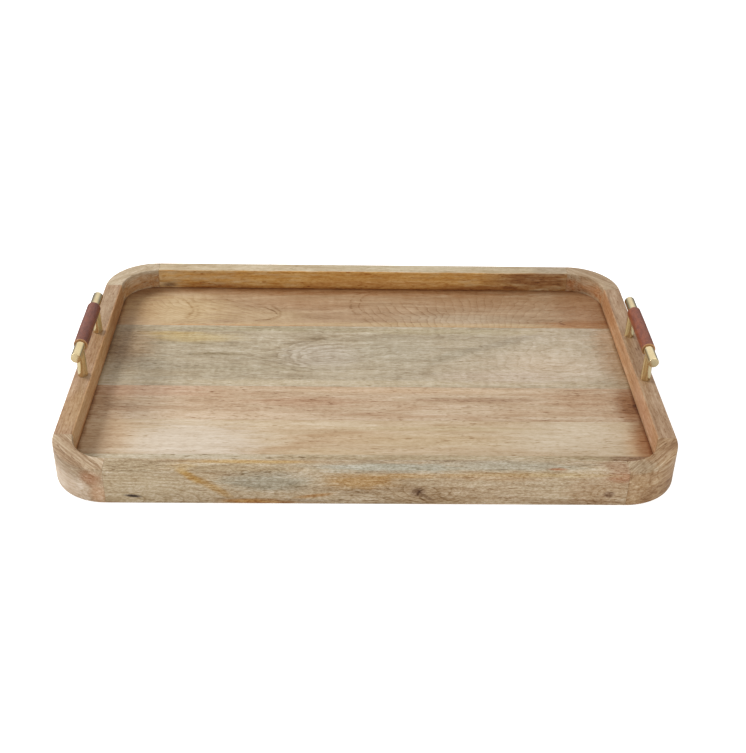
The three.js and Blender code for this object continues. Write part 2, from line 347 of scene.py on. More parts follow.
def board_outline(low_y, high_y, grow, ease):
    """One level of a floor board: the floor's outline cut off at the board's own seams."""
    radius = INSIDE_RADIUS + grow

    def reach(y):
        return CORNER_X + sqrt(radius**2 - max(0, abs(y) - CORNER_Y) ** 2)

    back = [
        (CORNER_X + radius * cos(turn), CORNER_Y + radius * sin(turn))
        for turn in quarter_turn(FLOOR_ARC_STEPS)
    ]
    front = [(x, -y) for x, y in reversed(back)]
    right = [(x, y) for x, y in front + back if low_y - SEAM_EASE < y < high_y + SEAM_EASE]
    if low_y > -INSIDE_Y:
        right.insert(0, (reach(low_y), low_y + ease))
    if high_y < INSIDE_Y:
        right.append((reach(high_y), high_y - ease))
    left = [(-x, y) for x, y in reversed(right)]
    return right + left


def build_floor_board(node, material):
    """A floor board with eased seams and a tongue where it meets the frame."""
    low, high = box_of(node)
    levels = [
        (low.z, -FLOOR_EDGE_GAP - SEAM_EASE, SEAM_EASE), (low.z + SEAM_EASE, -FLOOR_EDGE_GAP, 0),
        (TONGUE_BOTTOM, -FLOOR_EDGE_GAP, 0), (TONGUE_BOTTOM, TONGUE_LENGTH, 0),
        (TONGUE_TOP, TONGUE_LENGTH, 0), (TONGUE_TOP, -FLOOR_EDGE_GAP, 0),
        (high.z - SEAM_EASE, -FLOOR_EDGE_GAP, 0), (high.z, -FLOOR_EDGE_GAP - SEAM_EASE, SEAM_EASE),
    ]
    rings = []
    for height, grow, ease in levels:
        rings.append([(x, y, height) for x, y in board_outline(low.y, high.y, grow, ease)])
    finish_piece(new_object(f"{node}_fine", *skin(rings)), node, material)


# ---- handles ----


def circle(centre, radius):
    """A ring round a handle bar, which runs along Y."""
    return [
        (centre.x + radius * cos(turn), centre.y, centre.z + radius * sin(turn))
        for turn in whole_turn(BAR_STEPS)
    ]


def bar_axis(side):
    """The middle, radius and half length of a handle bar."""
    low, high = box_of(f"{side}_handle_bar")
    return (low + high) / 2, (high.x - low.x) / 2, (high.y - low.y) / 2


def build_bar(side, material):
    """The brass grip bar, with rounded rims and a blind hole above each post."""
    middle, radius, half = bar_axis(side)
    profile = []
    for turn in quarter_turn(ARC_STEPS):
        across = radius - BAR_EDGE + BAR_EDGE * sin(turn)
        profile.append((-half + BAR_EDGE - BAR_EDGE * cos(turn), across))
    profile += [(-along, across) for along, across in reversed(profile)]
    rings = [circle(middle + Vector((0, along, 0)), across) for along, across in profile]
    node = f"{side}_handle_bar"
    bar = new_object(f"{node}_fine", *skin(rings))
    cutters = []
    for end in ("front", "back"):
        stud = f"{side}_bar_stud_{end}"
        y = middle_of(stud)[1]
        top = box_of(stud)[1].z + HOLE_CLEARANCE
        below = middle.z - radius - 1
        cutters.append(drill(THREAD_RADIUS + HOLE_CLEARANCE, (middle.x, y, below), (middle.x, y, top)))
    cut_away(bar, cutters)
    finish_piece(bar, node, material)


def build_post(side, end, material):
    """A tapered brass post whose top is hollowed to the bar it carries."""
    node = f"{side}_post_{end}"
    low, high = box_of(node)
    x, y = middle_of(node)
    foot_radius = (high.x - low.x) / 2
    middle, bar_radius, _ = bar_axis(side)
    saddle = bar_radius + SADDLE_GAP

    def radius_at(height):
        share = (height - low.z) / (middle.z - low.z)
        return foot_radius + (POST_TOP_RADIUS - foot_radius) * share

    def saddle_height(offset):
        return middle.z - sqrt(saddle**2 - offset**2)

    def ring(radii, heights):
        points = zip(turns, radii, heights)
        return [(x + r * cos(turn), y + r * sin(turn), z) for turn, r, z in points]

    turns = whole_turn(POST_STEPS)
    rim = radius_at(middle.z - bar_radius)
    shoulder = [saddle_height(rim * cos(turn)) for turn in turns]
    rings = [ring([foot_radius - POST_FOOT_EASE] * POST_STEPS, [low.z] * POST_STEPS)]
    foot = low.z + POST_FOOT_EASE
    for row in range(POST_STRETCHES + 1):
        heights = [foot + (top - low.z - POST_FOOT_EASE) * row / POST_STRETCHES for top in shoulder]
        rings.append(ring([radius_at(z) for z in heights], heights))
    for share in SADDLE_SHARES:
        radii = [radius_at(top) * share for top in shoulder]
        rings.append(ring(radii, [saddle_height(r * cos(turn)) for r, turn in zip(radii, turns)]))
    post = new_object(f"{node}_fine", *skin(rings))
    radius = THREAD_RADIUS + HOLE_CLEARANCE
    screw_top = box_of(f"{side}_screw_{end}")[1].z + HOLE_CLEARANCE
    stud_bottom = box_of(f"{side}_bar_stud_{end}")[0].z - HOLE_CLEARANCE
    cut_away(post, [
        drill(radius, (x, y, low.z - 1), (x, y, screw_top)),
        drill(radius, (x, y, stud_bottom), (x, y, middle.z)),
    ])
    finish_piece(post, node, material)


def sleeve_wave(turn, along):
    """How far hand-wrapped leather stands off a true cylinder, with a butt seam underneath."""
    wave = 0.05 * sin(3 * turn + 0.09 * along) + 0.03 * sin(7 * turn - 0.16 * along + 1)
    from_seam = abs(remainder(turn + pi / 2, tau))
    return wave - BUTT_SEAM_DEPTH * exp(-((from_seam / BUTT_SEAM_WIDTH) ** 2))


def build_sleeve(side, material):
    """The leather sleeve: wrapped tight round the bar, with softly cut ends."""
    node = f"{side}_leather_sleeve"
    low, high = box_of(node)
    middle, bar_radius, _ = bar_axis(side)
    half = (high.y - low.y) / 2
    outer = (high.x - low.x) / 2 - SLEEVE_SLACK
    inner = bar_radius + SLEEVE_TIGHTNESS
    straight = half - SLEEVE_EDGE  # where the rounded rims begin
    # the wall's section, as place along the bar, radius and share of the waves
    rim = [(half, inner + SLEEVE_EDGE / 2, 0)]
    for turn in quarter_turn(ARC_STEPS):
        radius = outer - SLEEVE_EDGE + SLEEVE_EDGE * sin(turn)
        rim.append((straight + SLEEVE_EDGE * cos(turn), radius, 1))
    section = [(-straight, inner, 0), (straight, inner, 0), *rim]
    for i in range(1, SLEEVE_STRETCHES):
        section.append((straight * (1 - 2 * i / SLEEVE_STRETCHES), outer, 1))
    section += [(-along, radius, waviness) for along, radius, waviness in reversed(rim)]
    rings = []
    for along, radius, waviness in section:
        ring = []
        for turn in whole_turn(SLEEVE_STEPS):
            distance = radius + waviness * sleeve_wave(turn, along)
            x = middle.x + distance * cos(turn)
            ring.append((x, middle.y + along, middle.z + distance * sin(turn)))
        rings.append(ring)
    sleeve = new_object(f"{node}_fine", *skin(rings, closed=True))
    finish_piece(sleeve, node, material)


# ---- shader arithmetic ----


class Field:
    """A number that varies over a material, with ordinary arithmetic on it."""

    def __init__(self, graph, socket):
        self.graph = graph
        self.socket = socket

    def __add__(self, other):
        return self.graph.math("ADD", self, other)

    def __sub__(self, other):
        return self.graph.math("SUBTRACT", self, other)

    def __mul__(self, other):
        return self.graph.math("MULTIPLY", self, other)

    def __truediv__(self, other):
        return self.graph.math("DIVIDE", self, other)

    __radd__ = __add__
    __rmul__ = __mul__

    def __rsub__(self, other):
        return self.graph.math("SUBTRACT", other, self)

    def apply(self, operation, other=0.0):
        return self.graph.math(operation, self, other)

    def ramp(self, low, high):
        """0 at low and 1 at high, with a soft start and end. low may be the larger."""
        node = self.graph.add("ShaderNodeMapRange", interpolation_type="SMOOTHSTEP")
        self.graph.feed(node, {"Value": self, "From Min": min(low, high), "From Max": max(low, high)})
        result = Field(self.graph, node.outputs[0])
        return result if low < high else 1 - result


class Graph:
    """The node tree of one material, put together from plain expressions."""

    def __init__(self, tree):
        self.tree = tree

    def add(self, kind, **settings):
        node = self.tree.nodes.new(kind)
        for key, value in settings.items():
            setattr(node, key, value)
        return node

    def feed(self, node, values):
        """Links or sets a node's inputs, by their names or numbers."""
        for key, value in values.items():
            if isinstance(value, Field):
                value = value.socket
            if isinstance(value, bpy.types.NodeSocket):
                self.tree.links.new(value, node.inputs[key])
            else:
                node.inputs[key].default_value = value

    def math(self, operation, first, second=0.0):
        node = self.add("ShaderNodeMath", operation=operation)
        self.feed(node, {0: first, 1: second})
        return Field(self, node.outputs[0])

    def vector_math(self, operation, first, second=(0, 0, 0)):
        node = self.add("ShaderNodeVectorMath", operation=operation)
        self.feed(node, {0: first, 1: second})
        return node

    def millimetres(self):
        """The place in the tray's own frame, as a vector in millimetres."""
        place = self.add("ShaderNodeTexCoord").outputs["Object"]
        return self.vector_math("MULTIPLY", place, (1 / MM,) * 3).outputs[0]

    def fitted(self, place, centre, sizes, turn=(0, 0, 0)):
        """The place counted from a centre, in turned axes, each in units of its own size."""
        node = self.add("ShaderNodeMapping", vector_type="TEXTURE")
        angles = [radians(angle) for angle in turn]
        self.feed(node, {"Vector": place, "Location": centre, "Rotation": angles, "Scale": sizes})
        return node.outputs[0]

    def length(self, vector):
        return Field(self, self.vector_math("LENGTH", vector).outputs["Value"])

    def parts(self, vector):
        node = self.add("ShaderNodeSeparateXYZ")
        self.feed(node, {0: vector})
        return [Field(self, socket) for socket in node.outputs]

    def joined(self, x, y, z):
        node = self.add("ShaderNodeCombineXYZ")
        self.feed(node, {0: x, 1: y, 2: z})
        return node.outputs[0]

    def ray_kinds(self):
        """1 for rays straight from the camera, and 1 for mirrored ones. Only the studio uses these."""
        rays = self.add("ShaderNodeLightPath")
        return [Field(self, rays.outputs[kind]) for kind in ("Is Camera Ray", "Is Glossy Ray")]

    def noise(self, place, sizes, seed, detail=2.0, roughness=0.5):
        """Soft noise round 0, mostly within half of it either way, with features of these sizes."""
        node = self.add("ShaderNodeTexNoise", noise_dimensions="3D")
        offset = (17.3 * seed, 7.9 * seed, 3.1 * seed)
        scaled = self.vector_math("DIVIDE", place, sizes).outputs[0]
        self.feed(node, {"Vector": self.vector_math("ADD", scaled, offset).outputs[0], "Scale": 1})
        self.feed(node, {"Detail": detail, "Roughness": roughness})
        return Field(self, node.outputs["Fac"]) - 0.5

    def blend(self, factor, first, second, mode="MIX"):
        """Mixes two colours by a factor."""
        node = self.add("ShaderNodeMix", data_type="RGBA", blend_type=mode)
        # 0, 6, 7 and 2 are the mix node's sockets for colours
        self.feed(node, {0: factor, 6: first, 7: second})
        return node.outputs[2]

    def deepened(self, colour, amount):
        """Wood darkens and warms together, which a power of its colour gives."""
        node = self.add("ShaderNodeGamma")
        self.feed(node, {"Color": colour, "Gamma": 1 + amount})
        return node.outputs[0]

    def bump(self, height, depth):
        """A normal from a height that varies by about 1, standing for this depth."""
        node = self.add("ShaderNodeBump")
        self.feed(node, {"Distance": depth * MM, "Height": height})
        return node.outputs["Normal"]


def new_material(name):
    """A material, its graph and its Principled shader."""
    material = bpy.data.materials.new(name)
    material.use_nodes = True
    graph = Graph(material.node_tree)
    return material, graph, material.node_tree.nodes["Principled BSDF"]


STUDIO_GAIN = 1.3  # how much brighter a white surface is in this studio than paper white


def tone(code):
    """The surface colour that looks like this hex colour in the studio's light."""
    channels = []
    for start in (0, 2, 4):
        value = int(code[start:start + 2], 16) / 255
        linear = value / 12.92 if value <= 0.04045 else ((value + 0.055) / 1.055) ** 2.4
        channels.append(min(linear / STUDIO_GAIN, 0.9))
    return (*channels, 1)


# ---- wood ----

# What each plank's look is set by, and the usual values. Sizes and places are millimetres. A mark's
# turn, in degrees about X, Y and Z, may be left out.
USUAL_WOOD = {
    "grain": 0,  # degrees from X
    "sway": 12,  # how far the grain wanders sideways
    "streaks": 0.5,  # long soft streaks
    "fibres": 0.9,  # fine fibres
    "grit": 1.0,  # the finest grain, just visible
    "grit_size": 1.0,
    "pores": 0.7,  # short dark dashes
    "flecks": 0.0,  # longer brown dashes
    "haze": 0.0,  # pale strokes
    "clouds": 0.3,  # large soft patches
    "curl": 0.12,  # ripples across the grain
    "lines": 0.2,  # growth lines
    "slope": (0.004, 0.05, 0.05),  # growth lines per millimetre
    "wander": 1.6,  # how uneven the growth lines are
    "fan": None,  # growth lines that spread from a point: (x, y, lines per unit of slant)
    "hills": (),  # eyes in the growth lines: (centre, sizes, rise, turn)
    "loops": (),  # arcs: (centre, sizes, depth, facing angle, turn), pale where depth is negative
    "windows": (),  # where growth lines show more: (centre, sizes, extra)
    "upright": False,  # whether the arcs stand on the plank's edge face
    "spots": (),  # patches of another colour, a few of them painted shade and sheen: (centre, sizes, colour, strength, turn)
    "tints": (),  # wide soft changes of tone, some of them painted shade beside the rails: (centre, sizes, red, green and blue factor)
    "top_marks": False,  # whether the dark dashes show on the upper side only
    "edge_stain": 0.0,  # painted shade on the floor along the foot of the frame
}


def figure_lines(graph, place, wood):
    """Growth rings as contour lines of a gentle landscape. Hills in it make eyes and arches."""
    wander = graph.noise(place, (60, 24, 24), wood["seed"] + 5, detail=3, roughness=0.5)
    slope = graph.vector_math("DOT_PRODUCT", place, wood["slope"])
    height = Field(graph, slope.outputs["Value"]) + wander * wood["wander"]
    for centre, sizes, rise, *turn in wood["hills"]:
        away = graph.length(graph.fitted(place, centre, sizes, *turn))
        height = height + (away * away * -1).apply("EXPONENT") * rise
    if wood["fan"]:
        x, y, _ = graph.parts(place)
        fan_x, fan_y, rate = wood["fan"]
        height = height + (x - fan_x) / (y - fan_y) * rate
    share = height.apply("FRACT")
    broken = graph.noise(place, (9, 5, 5), wood["seed"] + 15, detail=3).ramp(-0.35, 0.05)
    return (share.apply("POWER", 8) * broken + share * 0.2) * share.ramp(1, 0.9)


def line_strength(graph, place, wood):
    """Growth lines fade in and out along the plank, and stand out in its windows."""
    strength = graph.noise(place, (50, 14, 14), wood["seed"] + 9).ramp(-0.2, 0.15) * wood["lines"]
    for centre, sizes, extra in wood["windows"]:
        strength = strength + graph.length(graph.fitted(place, centre, sizes)).ramp(1.2, 0.6) * extra
    return strength


def arc_marks(graph, place, wood):
    """Single dark or pale arcs, drawn unevenly, strongest on the side they face."""
    marks = graph.parts(place)[0] * 0
    unevenness = graph.noise(place, (24, 16, 16), wood["seed"] + 12, detail=4)
    broken = graph.noise(place, (7, 4, 4), wood["seed"] + 16, detail=3).ramp(-0.2, 0.1)
    up_axis = 2 if wood["upright"] else 1
    for centre, sizes, depth, facing, *turn in wood["loops"]:
        local = graph.fitted(place, centre, sizes, *turn)
        away = graph.length(local)
        axes = graph.parts(local)
        angle = radians(facing)
        side = (axes[0] * cos(angle) + axes[up_axis] * sin(angle)) / away
        from_ring = away - 1 + unevenness * 0.6
        line = (from_ring * from_ring * -RING_SHARPNESS).apply("EXPONENT")
        marks = marks + line * side.ramp(-0.2, 0.7) * (unevenness + 0.1).ramp(-0.2, 0.15) * depth
    return marks * broken


def wood_colour(graph, place, bent, wood):
    """The plank's two tones, its coloured patches, its pale haze and its tints, some of which are painted
    shade.
    """
    seed = wood["seed"]
    hue = graph.noise(bent, (90, 11, 11), seed + 1, detail=4, roughness=0.6)
    colour = graph.blend(hue.ramp(-0.2, 0.2), tone(wood["light"]), tone(wood["dark"]))
    ragged = graph.noise(bent, (30, 5, 5), seed + 2, detail=4, roughness=0.65) * 1.3
    for centre, sizes, code, strength, *turn in wood["spots"]:
        away = graph.length(graph.fitted(place, centre, sizes, *turn))
        away = away + ragged * min(1, sizes[0] / 30)
        colour = graph.blend(away.ramp(1.25, 0.35) * strength, colour, tone(code))
    if wood["haze"]:
        strokes = graph.noise(bent, (13, 2.4, 2.4), seed + 10, detail=3, roughness=0.6).ramp(0, 0.28)
        colour = graph.blend(strokes * wood["haze"], colour, tone("ddd8cc"))
    # the tints multiply the colour; those beside the rails are painted shade
    for centre, sizes, factors in wood["tints"]:
        near = graph.length(graph.fitted(place, centre, sizes)).ramp(1.2, 0.3)
        colour = graph.blend(near, colour, (*factors, 1), "MULTIPLY")
    return colour


def wood_material(name, plank):
    """Satin lacquered mango wood, shaded in the board's own grain direction."""
    material, graph, shader = new_material(name)
    wood = {**USUAL_WOOD, **plank}
    seed = wood["seed"]
    place = graph.millimetres()
    grain = graph.fitted(place, (0, 0, 0), (1, 1, 1), (0, 0, wood["grain"]))
    along, across, up = graph.parts(grain)
    sway = graph.noise(grain, (170, 45, 45), seed, detail=1) * wood["sway"]
    bent = graph.joined(along, across + sway, up + sway * 0.5)

    streaks = graph.noise(bent, (110, 5, 5), seed + 3, detail=4, roughness=0.6)
    fibres = graph.noise(bent, (24, 1.9, 1.9), seed + 4, detail=3, roughness=0.65).apply("MAXIMUM", -0.14)
    size = wood["grit_size"]
    grit = graph.noise(bent, (5 * size, 2 * size, 2 * size), seed + 11, detail=3, roughness=0.7)
    grit = grit.apply("MAXIMUM", -0.09)
    density = graph.noise(bent, (45, 9, 9), seed + 6, detail=2).ramp(-0.25, 0.2)
    pores = graph.noise(bent, (8, 1.3, 1.3), seed + 7, detail=1.5).ramp(0.09, 0.2) * density
    flecks = graph.noise(bent, (20, 2.2, 2.2), seed + 13, detail=2).ramp(0.08, 0.26) * density
    if wood["top_marks"]:
        normal = graph.add("ShaderNodeNewGeometry").outputs["Normal"]
        topness = graph.parts(normal)[2].ramp(0.3, 0.8)
        pores = pores * topness
        flecks = flecks * topness
    clouds = graph.noise(bent, (42, 12, 12), seed + 14, detail=5, roughness=0.6)
    curl = graph.noise(bent, (6, 34, 34), seed + 8, detail=2)
    lines = figure_lines(graph, bent, wood) * line_strength(graph, place, wood)
    depth = streaks * wood["streaks"] + fibres * wood["fibres"] + grit * wood["grit"]
    depth = depth + pores * wood["pores"] + flecks * wood["flecks"] + lines
    depth = depth + curl * wood["curl"] + clouds * wood["clouds"]
    if wood["loops"]:
        depth = depth + arc_marks(graph, place, wood)
    # painted shade: the floor darkens along the foot of the frame
    if wood["edge_stain"]:
        depth = depth + edge_stain(graph, place) * wood["edge_stain"]
    colour = graph.deepened(wood_colour(graph, place, bent, wood), depth)
    roughness = 0.5 + fibres * 0.12 + pores * 0.1
    relief = graph.bump(fibres * 0.5 + grit * 0.2 - pores - lines * 0.3, 0.05)
    graph.feed(shader, {"Base Color": colour, "Roughness": roughness, "Normal": relief})
    graph.feed(shader, {"Specular IOR Level": 0.28, "Coat Weight": 0.08, "Coat Roughness": 0.35})
    return material


def edge_stain(graph, place):
    """1 along the foot of the frame, where the floor gets painted shade, and 0 away from it."""
    x, y, _ = graph.parts(place)
    unevenness = graph.noise(place, (14, 14, 14), 40, detail=3) * FOOT_SHADE_WIDTH
    by_side = (x.apply("ABSOLUTE") + unevenness).ramp(INSIDE_X - FOOT_SHADE_WIDTH, INSIDE_X)
    by_back = (y + unevenness).ramp(INSIDE_Y - FOOT_SHADE_WIDTH, INSIDE_Y)
    return by_side.apply("MAXIMUM", by_back)


ANY = 400  # a size that leaves a direction out of a mark's shape
SPOT_DEPTH = 9  # how far a spot on the front rail's face reaches into the wood
FRONT_FACE = round(FRAME_LOW.y)


def floor_plank(**wood):
    """A floor board's plank, whose marks are given in X and Y and run right through it."""
    for kind in ("spots", "tints", "hills", "loops", "windows"):
        marks = wood.get(kind, ())
        wood[kind] = [((*centre, 0), (*sizes, ANY), *rest) for centre, sizes, *rest in marks]
    return wood


def on_front(depth, marks):
    """Marks on the front rail's outer face, given in X and Z."""
    return [
        ((x, FRONT_FACE, z), (width, depth, height), *rest) for (x, z), (width, height), *rest in marks
    ]


FLOOR_BOARDS = {
    "floor_board_1": floor_plank(
        seed=1, light="bb9c7a", dark="a58562", sway=20, lines=0.14, curl=0.2, streaks=0.35, pores=0.3,
        grit=0.4, fibres=0.45, clouds=0.5, slope=(0.03, 0.03, 0), wander=2.6, fan=(55, 3, 8),
        edge_stain=0.5,
        spots=[
            ((-222, 130), (80, 46), "cdb38a", 0.85), ((-120, 120), (60, 22), "c2a781", 0.7),
            ((268, 150), (46, 70), "a57a53", 0.85), ((150, 158), (110, 22), "a37c56", 0.6),
            # the first spot here is painted shade under the back rail, over a redder strip of wood
            ((0, 185), (320, 15), "9c6c40", 0.85), ((110, 116), (90, 12), "b69e80", 0.7),
            ((70, 102), (330, 6), "cfb389", 0.6), ((258, 104), (50, 12), "a87443", 0.8),
            # the first spot here is painted shade in the back left corner
            ((-272, 178), (26, 14), "8a5e34", 0.6), ((-150, 99), (110, 1.6), "c99358", 0.6),
            ((170, 99), (110, 1.6), "c4955c", 0.4), ((-60, 150), (70, 16), "b48e69", 0.5),
        ],
        # the first tint is painted shadow of the left rail on the floor
        tints=[((-292, 140), (60, 70), (0.72, 0.6, 0.46)), ((110, 130), (90, 50), (1.07, 1.1, 1.14))],
        hills=[((190, 128), (60, 50), 3, (0, 0, 20)), ((-215, 134), (60, 40), 4)],
        windows=[
            ((45, 120), (55, 34), 0.45), ((150, 132), (90, 44), 0.22), ((-190, 133), (80, 34), 0.35),
        ],
        loops=[
            ((-130, 127), (27, 16), 0.95, -10, (0, 0, -12)), ((-136, 128), (17, 6), 0.5, 60),
            ((-131, 127), (33, 22), 0.35, 10), ((-238, 132), (34, 30), 0.45, 0),
            ((-238, 132), (42, 38), 0.25, -30), ((258, 110), (26, 9), 0.6, 180),
            ((-75, 132), (26, 16), 0.2, 90), ((12, 148), (18, 26), 0.4, 150),
            ((6, 148), (22, 34), 0.3, 160),
        ],
    ),
    "floor_board_2": floor_plank(
        seed=2, light="c3b398", dark="b09f83", sway=18, lines=0.22, curl=0.3, streaks=0.35, pores=0.5,
        fibres=0.8, clouds=0.45, haze=0.2, slope=(0.006, 0.035, 0), wander=2.4, edge_stain=0.4,
        spots=[
            ((-194, 71), (54, 13), "c9ad6e", 0.6), ((-229, 79), (35, 7), "c4a55f", 0.5),
            ((-130, 91), (150, 6), "a99b77", 0.6), ((-165, 36), (45, 3.5), "927e58", 0.7),
            ((-48, 33), (52, 32), "c1b3a0", 0.7), ((30, 48), (55, 40), "b8ab92", 0.6),
            ((222, 26), (88, 46), "d0bea4", 0.9), ((165, 66), (66, 7), "a99a82", 0.6, (0, 0, 25)),
            ((105, 88), (140, 8), "b6a581", 0.7), ((284, 40), (26, 75), "bc9a74", 0.7),
            ((0, -22), (330, 7), "cdbb9c", 0.7), ((95, 33), (40, 10), "a3967c", 0.5, (0, 0, 30)),
            # the first spot here is painted shadow of the left rail on the floor
            ((-268, 50), (34, 40), "a98b64", 0.7), ((-215, 58), (60, 3), "a08f6d", 0.4),
            ((-110, 6), (110, 6), "ad9e80", 0.4), ((-235, -4), (70, 8), "bdaa8b", 0.6),
            ((150, -8), (90, 14), "c9b69f", 0.6),
        ],
        tints=[
            # the first tint is painted shadow of the left rail on the floor
            ((-292, 60), (64, 70), (0.7, 0.62, 0.52)), ((170, 5), (110, 40), (1.08, 1.06, 1.07)),
            ((235, 85), (90, 22), (1.18, 1.18, 1.24)), ((-190, 30), (120, 80), (0.9, 0.9, 0.88)),
        ],
        hills=[
            ((-44, 33), (58, 26), 6), ((-165, 40), (60, 12), 2.5), ((215, 28), (75, 60), 6, (0, 0, 30)),
        ],
        windows=[((-74, 34), (60, 44), 0.5), ((-40, 66), (60, 14), 0.3), ((215, 28), (70, 50), 0.25)],
        loops=[
            ((-42, 33), (37, 28), -0.12, 165), ((-42, 34), (24, 17), -0.1, 170),
            ((-42, 34), (30, 22), -0.1, 180), ((-42, 33), (50, 34), -0.14, 150),
            ((-42, 33), (44, 31), 0.3, 175), ((-42, 33), (33, 25), 0.25, 170),
            ((-42, 33), (57, 37), 0.25, 165), ((-42, 33), (20, 13), 0.2, 190),
        ],
    ),
    "floor_board_3": floor_plank(
        seed=3, light="cdb496", dark="be9e7d", lines=0.12, streaks=0.6, pores=0.9, grit=0.8, fibres=0.8,
        flecks=0.3, clouds=0.4, edge_stain=0.6,
        spots=[
            ((-60, -58), (60, 12), "b18865", 0.55), ((-235, -38), (80, 14), "c9a385", 0.6),
            ((120, -53), (70, 6), "a27d5b", 0.7), ((282, -62), (20, 38), "96673f", 0.9),
            ((-160, -84), (130, 10), "d9c1a4", 0.7), ((60, -36), (150, 7), "d5b896", 0.6),
            ((230, -54), (40, 22), "b8926e", 0.6), ((185, -78), (60, 8), "c2a17f", 0.5),
        ],
        # the first tint is painted shadow of the left rail on the floor
        tints=[((-292, -60), (56, 50), (0.82, 0.73, 0.63)), ((130, -62), (150, 36), (1.05, 1.08, 1.1))],
        hills=[((60, -62), (70, 16), 2.5)],
    ),
    "floor_board_4": floor_plank(
        seed=4, light="d6c1a2", dark="c9ae8b", lines=0.12, curl=0.1, pores=0.6, grit=0.65, fibres=0.7,
        flecks=0.2, clouds=0.35, edge_stain=0.5,
        spots=[
            ((-180, -132), (84, 40), "dccbb5", 0.95), ((-14, -124), (74, 16), "c8aa86", 0.8),
            ((-268, -116), (40, 40), "cbae8a", 0.7), ((60, -127), (100, 14), "cbb18a", 0.6),
            # the second spot here is painted shade beside the right rail
            ((210, -117), (70, 40), "d8c5a9", 0.75), ((288, -127), (18, 60), "a67c55", 0.9),
            ((80, -106), (120, 5), "c4ac82", 0.5), ((-40, -147), (60, 6), "cfb48d", 0.6),
            ((-75, -138), (45, 6), "c19f78", 0.6, (0, 0, 14)),
            ((-45, -118), (50, 4), "b9966c", 0.4, (0, 0, 8)),
        ],
        # the first tint is painted shadow of the left rail on the floor, the second painted shade beside
        # the right rail
        tints=[((-292, -125), (56, 60), (0.79, 0.7, 0.62)), ((284, -140), (26, 40), (0.96, 0.8, 0.66))],
        hills=[((-60, -127), (90, 30), 2.5)],
    ),
    "floor_board_5": floor_plank(
        seed=4.6, light="cab797", dark="b8a27e", sway=8, pores=1.2, grit=1.4, flecks=0.5, edge_stain=0.5,
        # the second spot is painted shade beside the right rail
        spots=[((-180, -162), (90, 30), "cdbfa5", 0.8), ((280, -162), (40, 40), "97714f", 0.9)],
    ),
}

